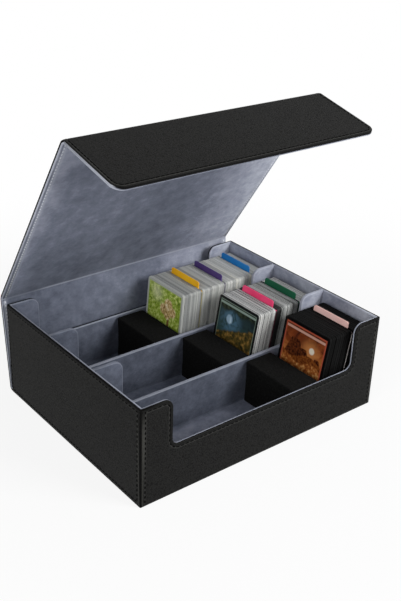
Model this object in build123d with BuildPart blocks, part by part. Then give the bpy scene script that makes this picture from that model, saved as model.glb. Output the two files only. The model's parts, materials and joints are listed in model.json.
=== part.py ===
from build123d import *
from math import cos, radians, sin, tan
import os

# Driving dimensions, in millimetres and degrees. X runs along the front, Y to the rear, Z up.
# The origin is the middle of the box's underside. The cards set the depth and height of the box.

# Cards, bare or in sleeves
card_width = 63.0
card_height = 88.0
sleeve_margin = 1.5  # what a black sleeve adds on each side of a card
clear_margin = 1.0  # what a clear sleeve adds
card_radius = 3.0

# Box: boards covered with leather outside and velvet inside, sewn along their edges
box_width = 302.0
row_play = 9.3  # what a row is wider than a sleeved card
card_headroom = 10.0  # above a sleeved card, up to the walls' top
skin = 1.0  # a sheet of leather or velvet
board = 2.0  # the stiff board between two sheets
hem = 3.0  # the turned edge beside a board
board_fit = 0.2  # play of a board in its pocket
edge_bevel = 0.6  # softening of a turned edge

# Low cut-outs of the front and rear walls and of the partitions
ear_width = 35.5  # full-height end left at each side of a cut-out, from the box's outside
low_edge = 54.0  # height of a cut-out's lower edge
ear_radius = 10.0
low_radius = 8.0

# Folding cover, hinged on creases without boards, as it stands half open
cover_gap = 0.4  # between the closed cover and the box
crease_half = 3.0  # from a crease's middle to the boarded panel beside it
flap_clearance = 24.0  # from the table to the closed flap's free edge
flap_radius = 11.0
back_lean = 5.05  # back panel, from upright
top_rise = 56.18  # top panel, above level
flap_drop = 13.54  # flap, below level

# Magnets sealed in the boards of the front wall and of the flap
magnet_radius = 6.0
magnet_fit = 0.2
magnet_spread = 70.0

# Loose contents: foam blocks, cards and tabbed dividers
block_length = 35.0
block_height = 48.0
block_play = 1.0  # between a block and the partitions
block_round = 2.0
block_bevel = 1.0
stack_gap = 0.4  # between neighbours in a row
lean_room = 4.3  # from the top of leaning cards to the right wall
slight_lean = 4.5
card_lean = 9.5
rear_shift = 2.5  # how far the rear row's cards stand back from the row's middle
middle_shift = 1.5
divider_sheet = 0.8
divider_margin = 1.0  # what a divider is larger than a card
tab_inset = 7.5  # from a divider's side to its tab
tab_height = 8.0
divider_radius = 2.5
tab_foot_radius = 1.5

# Thicknesses of the card stacks, from a row's block to the right wall
rear_stacks = (26.1, 31.5, 39.5, 16.4)
middle_stacks = (24.5, 31.5, 19.0)
front_stacks = (32.0, 20.5)

# Each row: its cards' shift, lean and sleeve, then its stacks and its dividers' colours
rows = {
    "rear": (rear_shift, slight_lean, clear_margin, rear_stacks, ("orange", "purple", "blue")),
    "middle": (middle_shift, card_lean, clear_margin, middle_stacks, ("pink", "green")),
    "front": (0, card_lean, sleeve_margin, front_stacks, ("rose",)),
}

# Sizes that follow
right_angle = 90
sleeve_width = card_width + 2 * sleeve_margin
sleeve_height = card_height + 2 * sleeve_margin
divider_width = card_width + 2 * divider_margin
divider_height = card_height + divider_margin
tab_width = divider_width - 2 * tab_inset
panel = 2 * skin + board
half = panel / 2
row_depth = sleeve_width + row_play
row_step = row_depth + panel
inner_width = box_width - 2 * panel
inner_depth = len(rows) * row_step - panel
box_depth = inner_depth + 2 * panel
box_height = panel + sleeve_height + card_headroom
cut_half = box_width / 2 - ear_width
rear_row_y = inner_depth / 2 - row_depth / 2
heel_half = cover_gap + half
back_length = box_height + cover_gap
top_length = box_depth + 2 * cover_gap + panel
flap_length = back_length + half - flap_clearance
magnet_height = (flap_clearance + low_edge) / 2
flap_magnets = back_length + half - magnet_height
back_heading = right_angle - back_lean
top_heading = 2 * right_angle - top_rise
flap_heading = 2 * right_angle + flap_drop
touch = 0.01  # how near two coordinates count as the same

os.makedirs("parts", exist_ok=True)


def keep(name, piece):
    piece.label = name
    export_step(piece, f"parts/{name}.step")


# Outlines of boarded panels, x across and y up from the panel's lower edge


def wall_outline(width, bottom, cut=False):
    with BuildSketch() as face:
        with Locations((0, bottom)):
            Rectangle(width, box_height - bottom, align=(Align.CENTER, Align.MIN))
        if cut:
            with Locations((0, low_edge)):
                Rectangle(
                    2 * cut_half,
                    box_height - low_edge,
                    align=(Align.CENTER, Align.MIN),
                    mode=Mode.SUBTRACT,
                )
            fillet(cut_corners(face, low_edge), low_radius)
            fillet(cut_corners(face, box_height), ear_radius)
    return face.sketch


def cut_corners(face, height):
    at_side = face.vertices().filter_by(lambda v: abs(abs(v.X) - cut_half) < touch)
    return at_side.filter_by(lambda v: abs(v.Y - height) < touch)


def cover_outline(start, end, corner):
    with BuildSketch() as face:
        with Locations((0, start)):
            Rectangle(box_width, end - start, align=(Align.CENTER, Align.MIN))
        if corner:
            fillet(face.vertices().group_by(Axis.Y)[-1], corner)
    return face.sketch


def inset(outline, amount):
    with BuildSketch() as smaller:
        add(outline)
        offset(amount=-amount, mode=Mode.REPLACE)
    return smaller.sketch


# A boarded panel lies on a plane: z = 0 is the outer face, and z grows inwards


def plan_of(plane):
    return Plane(plane.origin, x_dir=plane.x_dir, z_dir=-plane.y_dir)


def covering(plane, outline, pocket, outer, free, mitre=False):
    """A sheet with its turned edge: half of the panel's thickness, hollow for the board."""
    near = 0 if outer else half
    with BuildPart() as sheet:
        if mitre:
            reach = outline.bounding_box().max.X - near
            with BuildSketch(plan_of(plane)):
                with BuildLine():
                    Polyline(
                        (-reach, near),
                        (reach, near),
                        (reach - half, near + half),
                        (half - reach, near + half),
                        close=True,
                    )
                make_face()
            extrude(amount=-box_height)
        with BuildSketch(plane.offset(near)):
            add(outline)
        extrude(amount=half, mode=Mode.INTERSECT if mitre else Mode.ADD)
        with BuildSketch(plane.offset(skin if outer else half)):
            add(pocket)
        extrude(amount=half - skin, mode=Mode.SUBTRACT)
        shown = sheet.faces().sort_by(Axis(plane.origin, plane.z_dir))[0 if outer else -1]
        softened = shown.edges().filter_by(lambda e: free(plane.to_local_coords(e.center())))
        if softened:
            chamfer(softened, edge_bevel)
    return sheet.part


def magnet_spots(height):
    return Locations((-magnet_spread, height), (magnet_spread, height))


def stiffener(plane, pocket, magnets_at=None):
    with BuildPart() as stiff:
        with BuildSketch(plane.offset(skin)):
            add(inset(pocket, board_fit))
            if magnets_at:
                with magnet_spots(magnets_at):
                    Circle(magnet_radius + magnet_fit, mode=Mode.SUBTRACT)
        extrude(amount=board)
    return stiff.part


def magnets(plane, height):
    with BuildPart() as discs:
        with BuildSketch(plane.offset(skin)):
            with magnet_spots(height):
                Circle(magnet_radius)
        extrude(amount=board)
    return discs.part


# Walls, mitred at the corners, with leather outside, velvet inside and a board between


def make_wall(name, plane, width, cut=False, magnets_at=None):
    outline = wall_outline(width, 0, cut)
    pocket = inset(wall_outline(width - 2 * panel, 0, cut), hem)
    inner_reach = width / 2 - panel - touch
    keep(f"{name}_leather", covering(plane, outline, pocket, True, lambda c: True, mitre=True))
    keep(
        f"{name}_lining",
        covering(
            plane,
            outline,
            pocket,
            False,
            lambda c: c.Y > touch and abs(c.X) < inner_reach,
            mitre=True,
        ),
    )
    keep(f"{name}_board", stiffener(plane, pocket, magnets_at))


front_plane = Plane((0, -box_depth / 2, 0), x_dir=(-1, 0, 0), z_dir=(0, 1, 0))
rear_plane = Plane((0, box_depth / 2, 0), x_dir=(1, 0, 0), z_dir=(0, -1, 0))
left_plane = Plane((-box_width / 2, 0, 0), x_dir=(0, 1, 0), z_dir=(1, 0, 0))
right_plane = Plane((box_width / 2, 0, 0), x_dir=(0, -1, 0), z_dir=(-1, 0, 0))
make_wall("front", front_plane, box_width, cut=True, magnets_at=magnet_height)
make_wall("rear", rear_plane, box_width, cut=True)
make_wall("left", left_plane, box_depth)
make_wall("right", right_plane, box_depth)
keep("front_magnets", magnets(front_plane, magnet_height))

# Floor, set between the walls


def floor_outline(margin):
    with BuildSketch() as face:
        Rectangle(inner_width - 2 * margin, inner_depth - 2 * margin)
    return face.sketch


floor_plane = Plane.XY
floor_pocket = floor_outline(hem)
keep(
    "base_leather",
    covering(floor_plane, floor_outline(0), floor_pocket, True, lambda c: False),
)
keep(
    "floor_lining",
    covering(floor_plane, floor_outline(0), floor_pocket, False, lambda c: False),
)
keep("base_board", stiffener(floor_plane, floor_pocket))

# Partitions between the rows, velvet on both sides of a board


def make_partition(name, middle_y):
    plane = Plane((0, middle_y - half, 0), x_dir=(-1, 0, 0), z_dir=(0, 1, 0))
    outline = wall_outline(inner_width, panel, cut=True)
    pocket = inset(outline, hem)

    def free(c):
        return c.Y > panel + touch and abs(c.X) < inner_width / 2 - touch

    keep(f"{name}_partition_front_velvet", covering(plane, outline, pocket, True, free))
    keep(f"{name}_partition_rear_velvet", covering(plane, outline, pocket, False, free))
    keep(f"{name}_partition_board", stiffener(plane, pocket))


for place, name in enumerate(("rear", "front")):
    make_partition(name, rear_row_y - (place + 0.5) * row_step)

# Folding cover: a heading is the direction in the YZ plane, from +Y towards +Z


def along(heading):
    return Vector(0, cos(radians(heading)), sin(radians(heading)))


def outward(heading):
    return Vector(0, sin(radians(heading)), -cos(radians(heading)))


def cover_plane(crease, heading):
    origin = crease + outward(heading) * half
    return Plane(origin, x_dir=(1, 0, 0), z_dir=-outward(heading))


def make_cover_panel(name, plane, start, end, corner=0.0, magnets_at=None):
    outline = cover_outline(start, end, corner)
    pocket = inset(outline, hem)
    last = end + touch if corner else end - touch

    def free(c):
        return start + touch < c.Y < last

    keep(f"{name}_leather", covering(plane, outline, pocket, True, free))
    keep(f"{name}_lining", covering(plane, outline, pocket, False, free))
    keep(f"{name}_board", stiffener(plane, pocket, magnets_at))


def crease_strip(center, inner, outer, start, turn):
    with BuildPart() as strip:
        with BuildSketch(Plane.YZ.offset(-box_width / 2)):
            with BuildLine():
                near = CenterArc(center, inner, start, turn)
                far = CenterArc(center, outer, start, turn)
                Line(near @ 0, far @ 0)
                Line(near @ 1, far @ 1)
            make_face()
        extrude(amount=box_width)
    return strip.part


def make_crease(name, crease, before, after, reach):
    """Leather and velvet that bend round, tangent to the panels at each side."""
    turn = after - before
    bend = reach / tan(radians(turn / 2))
    middle = crease - along(before) * reach - outward(before) * bend
    center = (middle.Y, middle.Z)
    start = before - right_angle
    keep(f"{name}_crease_leather", crease_strip(center, bend, bend + half, start, turn))
    keep(f"{name}_crease_lining", crease_strip(center, bend - half, bend, start, turn))


heel_crease = Vector(0, box_depth / 2 + cover_gap + half, half)
rear_crease = heel_crease + along(back_heading) * back_length
front_crease = rear_crease + along(top_heading) * top_length
back_plane = cover_plane(heel_crease, back_heading)
top_plane = cover_plane(rear_crease, top_heading)
flap_plane = cover_plane(front_crease, flap_heading)
make_cover_panel("cover_back", back_plane, heel_half, back_length - crease_half)
make_cover_panel("cover_top", top_plane, crease_half, top_length - crease_half)
make_cover_panel("flap", flap_plane, crease_half, flap_length, flap_radius, flap_magnets)
keep("flap_magnets", magnets(flap_plane, flap_magnets))
make_crease("heel", heel_crease, 0, back_heading, heel_half)
make_crease("rear", rear_crease, back_heading, top_heading, crease_half)
make_crease("front", front_crease, top_heading, flap_heading, crease_half)

# Loose contents, standing on the floor and placed from the right wall


def card_plane(x, y, lean):
    tilt = radians(lean)
    return Plane((x, y, panel), x_dir=(0, 1, 0), z_dir=(cos(tilt), 0, -sin(tilt)))


def card_stack(plane, margin, thickness):
    width = card_width + 2 * margin
    height = card_height + 2 * margin
    with BuildPart() as stack:
        with BuildSketch(plane):
            RectangleRounded(width, height, card_radius, align=(Align.CENTER, Align.MIN))
        extrude(amount=thickness, dir=(1, 0, 0))
    return stack.part


def divider(plane):
    with BuildPart() as sheet:
        with BuildSketch(plane) as face:
            Rectangle(divider_width, divider_height, align=(Align.CENTER, Align.MIN))
            with Locations((0, divider_height)):
                Rectangle(tab_width, tab_height, align=(Align.CENTER, Align.MIN))
            feet = face.vertices().filter_by(lambda v: abs(abs(v.X) - tab_width / 2) < touch)
            fillet(feet.group_by(Axis.Y)[0], tab_foot_radius)
            outer = face.vertices().group_by(Axis.Y)
            fillet(outer[0] + outer[-1], divider_radius)
            shoulders = face.vertices().filter_by(
                lambda v: abs(abs(v.X) - divider_width / 2) < touch
            )
            fillet(shoulders.group_by(Axis.Y)[-1], divider_radius)
        extrude(amount=divider_sheet, dir=(1, 0, 0))
    return sheet.part


def foam_block(right_x, y):
    with BuildPart() as block:
        with BuildSketch(Plane.XY.offset(panel)):
            with Locations((right_x - block_length / 2, y)):
                Rectangle(block_length, row_depth - 2 * block_play)
        extrude(amount=block_height)
        fillet(block.edges().filter_by(Axis.Z), block_round)
        chamfer(block.faces().sort_by(Axis.Z)[-1].edges(), block_bevel)
    return block.part


def fill_row(name, y, shift, lean, margin, stacks, colours):
    top_shift = (card_height + 2 * margin) * sin(radians(lean))
    x = inner_width / 2 - top_shift - lean_room
    for place in range(len(stacks), 0, -1):
        thickness = stacks[place - 1]
        x -= thickness
        stack = card_stack(card_plane(x, y + shift, lean), margin, thickness)
        keep(f"{name}_cards_{place}", stack)
        if place > 1:
            x -= stack_gap + divider_sheet
            keep(f"divider_{colours[place - 2]}", divider(card_plane(x, y + shift, lean)))
            x -= stack_gap
    keep(f"{name}_foam_block", foam_block(x - stack_gap, y))


for place, (name, filling) in enumerate(rows.items()):
    fill_row(name, rear_row_y - place * row_step, *filling)
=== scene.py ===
# %% [markdown]
# # A trading card storage box
# The box is made of stiff boards covered with black grained leather outside and grey velvet inside.
# A cover of three panels folds over it, and cards, tabbed dividers and foam blocks stand in its rows.
# The CAD model already holds every board, hinge and stack, so it is loaded first as a fixed frame.
# This lesson then dresses that frame: each sheet gets its turned, sewn edge and its real finish.

# %% Load the frame
import json

import bpy
import numpy as np
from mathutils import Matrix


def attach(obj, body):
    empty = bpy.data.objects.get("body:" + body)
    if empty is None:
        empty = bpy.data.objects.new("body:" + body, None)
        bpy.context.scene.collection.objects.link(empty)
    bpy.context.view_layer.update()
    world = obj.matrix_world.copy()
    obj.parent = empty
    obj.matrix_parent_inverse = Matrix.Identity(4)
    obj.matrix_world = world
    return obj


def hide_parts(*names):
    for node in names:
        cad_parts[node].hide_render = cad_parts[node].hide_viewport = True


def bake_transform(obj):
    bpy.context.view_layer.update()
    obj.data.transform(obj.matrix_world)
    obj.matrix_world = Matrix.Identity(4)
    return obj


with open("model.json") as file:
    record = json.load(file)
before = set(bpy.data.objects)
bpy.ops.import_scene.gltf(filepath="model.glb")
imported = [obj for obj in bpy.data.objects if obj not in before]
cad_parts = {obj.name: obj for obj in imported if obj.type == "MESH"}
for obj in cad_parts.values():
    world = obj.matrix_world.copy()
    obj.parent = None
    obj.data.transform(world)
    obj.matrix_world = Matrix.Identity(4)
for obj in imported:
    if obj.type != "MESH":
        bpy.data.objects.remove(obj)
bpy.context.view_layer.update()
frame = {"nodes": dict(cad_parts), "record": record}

# %% [markdown]
# ## The camera
# A product photographer stands at the box's left front corner and looks down on it a little.
# A camera can be aimed by constraints or by angles. Angles are used here, because three of them and
# a place say exactly where the photographer stood: round the box, above it, and a slight roll.

# %% Camera
around, above, roll = np.radians((-39.13, 26.78, 2.1))
eye = (-0.5326, -0.6653, 0.5471)
focal_length, photo_height, sensor = 928.7, 601, 36.0  # pixels, pixels and millimetres
back = np.array([np.sin(around) * np.cos(above), -np.cos(around) * np.cos(above), np.sin(above)])
level = np.array([np.cos(around), np.sin(around), 0.0])
upright = np.cross(back, level)
matrix = np.eye(4)
matrix[:3, 0] = level * np.cos(roll) + upright * np.sin(roll)
matrix[:3, 1] = upright * np.cos(roll) - level * np.sin(roll)
matrix[:3, 2] = back
matrix[:3, 3] = eye
camera = bpy.data.objects.new("camera", bpy.data.cameras.new("camera"))
bpy.context.scene.collection.objects.link(camera)
camera.matrix_world = matrix.T.tolist()
camera.data.sensor_width = sensor
camera.data.lens = focal_length / photo_height * sensor
bpy.context.scene.camera = camera
print("camera at", eye, "with a lens of", round(camera.data.lens, 1), "mm")

# %% [markdown]
# ## Writing shaders as sums
# A finish is a picture worked out from the place on the surface: cells for leather, clouds for velvet.
# The nodes can be laid by hand in the editor, but a long chain of Math nodes is hard to read.
# A small class stands for one socket, so that `1 - mask` or `cells * 0.4` adds the Math node itself.

# %% A socket that can be reckoned with


class Field:
    """A socket of a node tree, as a value that differs from place to place."""

    def __init__(self, tree, socket):
        self.tree = tree
        self.socket = socket

    def node(self, kind, settings=None, sockets=None, output=0):
        """Adds a node: first its settings, a ramp's stops among them, then values or links."""
        made = self.tree.nodes.new(kind)
        for key, value in (settings or {}).items():
            if key == "stops":
                while len(made.color_ramp.elements) < len(value):
                    made.color_ramp.elements.new(1.0)
                for element, (position, colour) in zip(made.color_ramp.elements, value):
                    element.position = position
                    element.color = paint(colour)
            else:
                setattr(made, key, value)
        for key, value in (sockets or {}).items():
            if isinstance(value, Field):
                self.tree.links.new(value.socket, made.inputs[key])
            else:
                made.inputs[key].default_value = value
        return Field(self.tree, made.outputs[output])

    def beside(self, output):
        """Another output of the node that this one comes from."""
        return Field(self.tree, self.socket.node.outputs[output])

    def maths(self, operation, first, second=0.0):
        return self.node("ShaderNodeMath", {"operation": operation}, {0: first, 1: second})

    def __add__(self, other):
        return self.maths("ADD", self, other)

    __radd__ = __add__

    def __sub__(self, other):
        return self.maths("SUBTRACT", self, other)

    def __rsub__(self, other):
        return self.maths("SUBTRACT", other, self)

    def __mul__(self, other):
        return self.maths("MULTIPLY", self, other)

    __rmul__ = __mul__

    def __abs__(self):
        return self.maths("ABSOLUTE", self)

    def least(self, other):
        return self.maths("MINIMUM", self, other)

    def most(self, other):
        return self.maths("MAXIMUM", self, other)

    def sine(self):
        return self.maths("SINE", self)

    def past(self, edge, soft):
        """0 well below the edge, 1 well above it, and a smooth step in between."""
        ends = {"From Min": edge - soft, "From Max": edge + soft}
        return self.node(
            "ShaderNodeMapRange", {"interpolation_type": "SMOOTHSTEP"}, {"Value": self, **ends}
        )

    def between(self, low, high):
        """A value from 0 to 1, stretched to lie between two numbers or fields."""
        return self * (high - low) + low

    def colours(self, *stops):
        return self.node("ShaderNodeValToRGB", {"stops": stops}, {"Fac": self})

    def mixed(self, first, second):
        """The first colour where this value is 0, the second where it is 1."""
        return self.node(
            "ShaderNodeMix", {"data_type": "RGBA"}, {0: self, 6: first, 7: second}, output=2
        )


def paint(code):
    """A written colour such as #5b606e as the linear light that a shader works with."""
    share = np.array([int(code[i : i + 2], 16) for i in (1, 3, 5)]) / 255
    light = np.where(share <= 0.04045, share / 12.92, ((share + 0.055) / 1.055) ** 2.4)
    return (*light.tolist(), 1.0)


print("mid grey is", round(paint("#808080")[0], 3), "in linear light")

# %% [markdown]
# ## Starting a finish
# Every finish starts in the same way: a new material, its shader with the numbers that are the same
# all over, and the place on the surface in metres. Patterns on Object coordinates keep their real
# size on every piece, whatever its shape, so a grain of 1.1 mm is 1.1 mm everywhere.

# %% A new finish


class Finish:
    """A material with its shader, and the surface's place, map and marks as fields."""

    def __init__(self, name, **constants):
        self.material = bpy.data.materials.new(name)
        self.material.use_nodes = True
        self.tree = self.material.node_tree
        self.shader = self.tree.nodes["Principled BSDF"]
        for socket, value in constants.items():
            self.shader.inputs[socket.replace("_", " ")].default_value = value
        self.start = Field(self.tree, None)
        self.place = self.start.node("ShaderNodeTexCoord", output="Object")

    def noise(self, size, detail=3.0, rough=0.5, place=None, twist=0.0):
        """Clouds whose lumps are about `size` metres across."""
        values = {"Vector": place or self.place, "Scale": 1 / size, "Detail": detail}
        return self.start.node(
            "ShaderNodeTexNoise", {}, {**values, "Roughness": rough, "Distortion": twist}
        )

    def cells(self, size):
        """Distance from the middle of the nearest cell, for cells about `size` metres across."""
        return self.start.node("ShaderNodeTexVoronoi", {}, {"Vector": self.place, "Scale": 1 / size})

    def stretched(self, x, y, z):
        """The place, stretched along the axes, for patterns that are longer one way."""
        return self.start.node("ShaderNodeMapping", {}, {"Vector": self.place, "Scale": (x, y, z)})

    def split(self):
        """The place's three coordinates, as fields in metres."""
        x = self.start.node("ShaderNodeSeparateXYZ", {}, {"Vector": self.place})
        return x, x.beside("Y"), x.beside("Z")

    def map(self):
        """The piece's own map, as two fields from 0 to 1."""
        place = self.start.node("ShaderNodeUVMap", {"uv_map": "face"})
        across = self.start.node("ShaderNodeSeparateXYZ", {}, {"Vector": place})
        return across, across.beside("Y")

    def mark(self, name):
        return self.start.node("ShaderNodeAttribute", {"attribute_name": name}, output="Fac")

    def feed(self, socket, field):
        self.tree.links.new(field.socket, self.shader.inputs[socket])

    def raise_by(self, height, depth, strength=1.0):
        """Bump: where the height is 1, the surface stands `depth` metres above where it is 0."""
        bump = {"Height": height, "Distance": depth, "Strength": strength}
        self.feed("Normal", self.start.node("ShaderNodeBump", {}, bump))


print("finishes start from", bpy.app.version_string, "Principled BSDF")

# %% [markdown]
# ## Leather
# The leather is a pressed hide grain: rounded pebbles a little over a millimetre across, with fine
# creases between them that catch no light. A photograph of leather could be wrapped round the box,
# but Voronoi cells give the same pebbles at their true size, with no seams and no picture. Each piece
# says where its edge is, with a mark: 1 on the turned edge, which is dark, in the mitred corners as
# painted shade in the groove and at the foot as a painted shadow, and -1 in the sewn channel. There,
# and at a half, where it bends away from a dark edge, the leather is painted paler as a highlight.
# At 2 the lining is turned up round the edge and covers it, painted pale as its lit rim.

# %% Leather
pebble_size = 0.0011
leather = Finish("pebbled_leather", Specular_IOR_Level=0.045)
pebble = leather.cells(pebble_size)
swell = leather.noise(0.003, detail=2.0)
pores = leather.noise(0.0004, detail=1.0)
grain = (1 - pebble * 0.9) * swell.between(0.8, 1.1) + pores * 0.1
hide = grain.colours((0.2, "#0d0d0d"), (0.9, "#222221"))
edge = leather.mark("edge")
channel_highlight = (0 - edge).past(0.5, 0.5)
bend_highlight = edge.past(0.3, 0.3) - edge.past(0.8, 0.2)
dark_edge_and_shade = edge.past(0.85, 0.15)
lining_rim_and_highlight = edge.past(1.6, 0.2)
# Painted highlights make the channel and the bend paler; the dark edge is partly painted shade in mitred
# grooves and a painted shadow at the foot; the lining's rim is painted pale, as lit.
hide = (channel_highlight * 0.75).mixed(hide, paint("#3c3c3a"))
hide = (bend_highlight * 0.55).mixed(hide, paint("#454542"))
hide = dark_edge_and_shade.mixed(hide, paint("#080808"))
leather.feed("Base Color", lining_rim_and_highlight.mixed(hide, paint("#b4b8c2")))
leather.feed("Roughness", (1 - grain).between(0.44, 0.7))
leather.raise_by(grain, 0.0002, 0.75)
print(f"leather pebbles of {pebble_size * 1000:.1f} mm")

# %% [markdown]
# ## Velvet
# The lining is a short brushed pile. Strokes of the hand leave cloudy patches, light where the pile
# leans away and dark where it leans towards the eye. Hair strands could make a pile, but millions of
# them for a lining are a waste: soft clouds of a few greys, fine fibres and a little sheen read alike.
# Edges with a mark up to 1.5 are painted paler, a highlight where light catches the turned edge,
# though less on the left ears, which lie in shade. A negative mark is painted shade in a groove, and
# at 2 the leather is turned down round the edge and covers the pile. Painted light makes the right
# paler, and also the cover's left edge and the floor at the front left. Painted shade darkens the pile
# deep in the rows, lower down on the cover and in the box, and at the left end.

# %% Velvet
stroke_size = 0.085
velvet = Finish(
    "brushed_velvet",
    Sheen_Weight=0.2,
    Sheen_Roughness=0.45,
    Sheen_Tint=paint("#c3cad8"),
    Specular_IOR_Level=0.12,
)
strokes = velvet.noise(stroke_size, detail=2.5, place=velvet.stretched(0.7, 1.0, 1.0), twist=0.4)
patches = velvet.noise(0.014, detail=4.0, rough=0.6)
scuffs = velvet.noise(0.003, detail=3.0, place=velvet.stretched(0.6, 1.0, 1.0), twist=0.8)
fibres = velvet.noise(0.0006, detail=2.0)
x, y, z = velvet.split()
on_cover, off_floor = z.past(0.112, 0.004), z.past(0.0055, 0.001)
# Painted shade deep in the rows, below 19 cm (most on the cover) and at the left end; painted light at
# the right, on the cover's left edge and on the front left floor.
painted_shade_in_rows = (1 - z.past(0.05, 0.04)) * off_floor
painted_shade_lower_down = (1 - z.past(0.19, 0.06)) * (on_cover * 0.05 + 0.08)
painted_shade_left_end = (1 - x.past(-0.06, 0.1)) * (1 - on_cover)
painted_light_right_and_cover_edge = x.past(0.1, 0.08) * 0.35 + (1 - x.past(-0.135, 0.016)) * on_cover * 0.14
painted_light_front_floor = (1 - off_floor) * (1 - y.past(-0.045, 0.005)) * (1 - x.past(-0.02, 0.07))
painted_light_and_shade = painted_light_right_and_cover_edge + painted_light_front_floor * 0.3 + 0.01 - (painted_shade_in_rows * 0.1 + painted_shade_lower_down) - painted_shade_left_end * 0.06
# The nap's clouds carry this painted light and shade into the colour and the roughness.
nap_and_painted_light = strokes * 0.42 + patches * 0.34 + scuffs * 0.14 + fibres * 0.1 + painted_light_and_shade
pile = nap_and_painted_light.colours(
    (0.2, "#393d48"), (0.35, "#545966"), (0.5, "#6d7281"), (0.66, "#9094a3"), (0.85, "#bcc0cb")
)
fold = velvet.mark("edge")
# Painted highlights on turned edges, weaker on the left ears that lie in shade, and painted shade in
# grooves.
edge_highlight = (fold.past(0.3, 0.3) - fold.past(0.9, 0.1)) * 0.35
rim_highlight = (fold.past(1.2, 0.2) - fold.past(1.75, 0.1)) * 0.8
left_end = x.past(-0.1465, 0.001) * (1 - x.past(-0.105, 0.01))
shaded_left_ears = left_end * z.past(0.062, 0.006) * (1 - on_cover) * y.past(-0.1, 0.01)
groove_shade = (0 - fold).past(0.5, 0.5)
under_leather = fold.past(1.85, 0.1)
pile = ((edge_highlight + rim_highlight) * (1 - shaded_left_ears * 0.65)).mixed(pile, paint("#b9bdc8"))
pile = (groove_shade * 0.5).mixed(pile, paint("#2c2f38"))
velvet.feed("Base Color", under_leather.mixed(pile, paint("#141414")))
velvet.feed("Roughness", nap_and_painted_light.between(0.95, 0.75))
velvet.raise_by(fibres * 0.6 + scuffs * 0.4, 0.00025, 0.6)
print(f"velvet with strokes of {stroke_size * 1000:.0f} mm")

# %% [markdown]
# ## Thread
# The panels are sewn with twisted thread, black through the leather and pale grey on the lining.
# A thread is two plies laid round each other, so slanting stripes run across each stitch.
# The stripes could be modelled as two helices; on a stitch of 3 mm a bump from its own map is enough.

# %% Thread
slant, one_turn = 30, 6.28  # radians along a stitch and round it


def thread(name, dark, light):
    """Slanting plies: a sine of the way along the stitch plus the way round it."""
    finish = Finish(name, Specular_IOR_Level=0.02)
    along, round_it = finish.map()
    ply = ((along * slant + round_it * one_turn).sine() + 1) * 0.5
    finish.feed("Base Color", ply.colours((0.0, dark), (1.0, light)))
    finish.feed("Roughness", ply.between(0.95, 0.7))
    finish.raise_by(ply, 0.00015)
    return finish.material


black_thread = thread("black_thread", "#010101", "#060606")
grey_thread = thread("grey_thread", "#c3c6ce", "#eeeff2")
print("threads:", black_thread.name, grey_thread.name)

# %% [markdown]
# ## Foam, board and magnets
# The spacer blocks are soft black foam with open pores. The boards and the magnets are sealed inside
# the panels, and nobody sees them, but a part that is taken apart should still show what it is made of:
# grey pressed paper with fibres in it, and nickel with the fine rings of its plating.

# %% Foam, board and magnets
foam = Finish("open_foam", Specular_IOR_Level=0.06)
pore = foam.cells(0.0011)
sponge = pore * 0.7 + foam.noise(0.0035, detail=3.0) * 0.3
foam.feed("Base Color", sponge.colours((0.2, "#070707"), (0.8, "#1b1b1a")))
foam.feed("Roughness", pore.between(1.0, 0.85))
foam.raise_by(sponge, 0.0003, 0.8)

board = Finish("grey_board", Roughness=0.9, Specular_IOR_Level=0.2)
pulp = board.noise(0.0025, detail=5.0, rough=0.7, place=board.stretched(1.0, 0.3, 0.3))
board.feed("Base Color", pulp.colours((0.3, "#8b857b"), (0.55, "#a8a297"), (0.75, "#6f6a61")))
board.raise_by(pulp, 0.0001)

nickel = Finish("nickel_plate", Metallic=1.0)
haze = nickel.noise(0.003, detail=4.0, place=nickel.stretched(1.0, 0.2, 4.0))
nickel.feed("Base Color", haze.colours((0.3, "#a9a7a2"), (0.7, "#cfcdc8")))
nickel.feed("Roughness", haze.between(0.22, 0.4))
print("foam, board and nickel made")

# %% [markdown]
# ## Surfaces from a profile carried round an outline
# A covered board has the same edge all round: the sheet turns over the edge, lies flat, dips where the
# thread pulls it down, and lies flat again. So each sheet is one profile carried round one outline.
# Modelling it by hand with bevels would give the same edge, but not the channel, nor an even inset.
# The outline's corners are rounded first, then every ring of the profile moves the outline inwards.

# %% Outlines and carried profiles
mm = 0.001
nearly_straight = 1e-4


def unit(vectors):
    """Each vector divided by its length."""
    return vectors / np.linalg.norm(vectors, axis=-1, keepdims=True)


def rectangle(half_width, bottom, top, first=0):
    """Four corners, anticlockwise. The first is the lower left one, or one that comes after it."""
    corners = [(-half_width, bottom), (half_width, bottom), (half_width, top), (-half_width, top)]
    return corners[first:] + corners[:first]


def rounded(corners, radii, kinds, steps=10):
    """A closed outline whose corners are arcs. An arc's centre lies on the corner's bisector, radius /
    sin(half the angle) away, and its points swing evenly from one tangent point to the other."""
    corner = np.array(corners, float)
    radius = np.array(radii, float)[:, None]
    to_last = unit(np.roll(corner, 1, axis=0) - corner)
    to_next = unit(np.roll(corner, -1, axis=0) - corner)
    angle = np.arccos(np.sum(to_last * to_next, axis=1, keepdims=True))
    centre = corner + unit(to_last + to_next) * radius / np.sin(angle / 2)
    first = corner + to_last * radius / np.tan(angle / 2) - centre
    last = corner + to_next * radius / np.tan(angle / 2) - centre
    swing = (np.pi - angle)[:, None]
    t = np.linspace(0, 1, steps + 1)[None, :, None]
    arc = np.sin((1 - t) * swing) * first[:, None] + np.sin(t * swing) * last[:, None]
    kept = np.ones((len(corner), steps + 1), bool)
    kept[:, :-1] = radius > 0
    kind = np.zeros((len(corner), steps + 1), int)
    kind[:, -1] = kinds
    return (centre[:, None] + arc / np.sin(swing))[kept], kind[kept]


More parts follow.
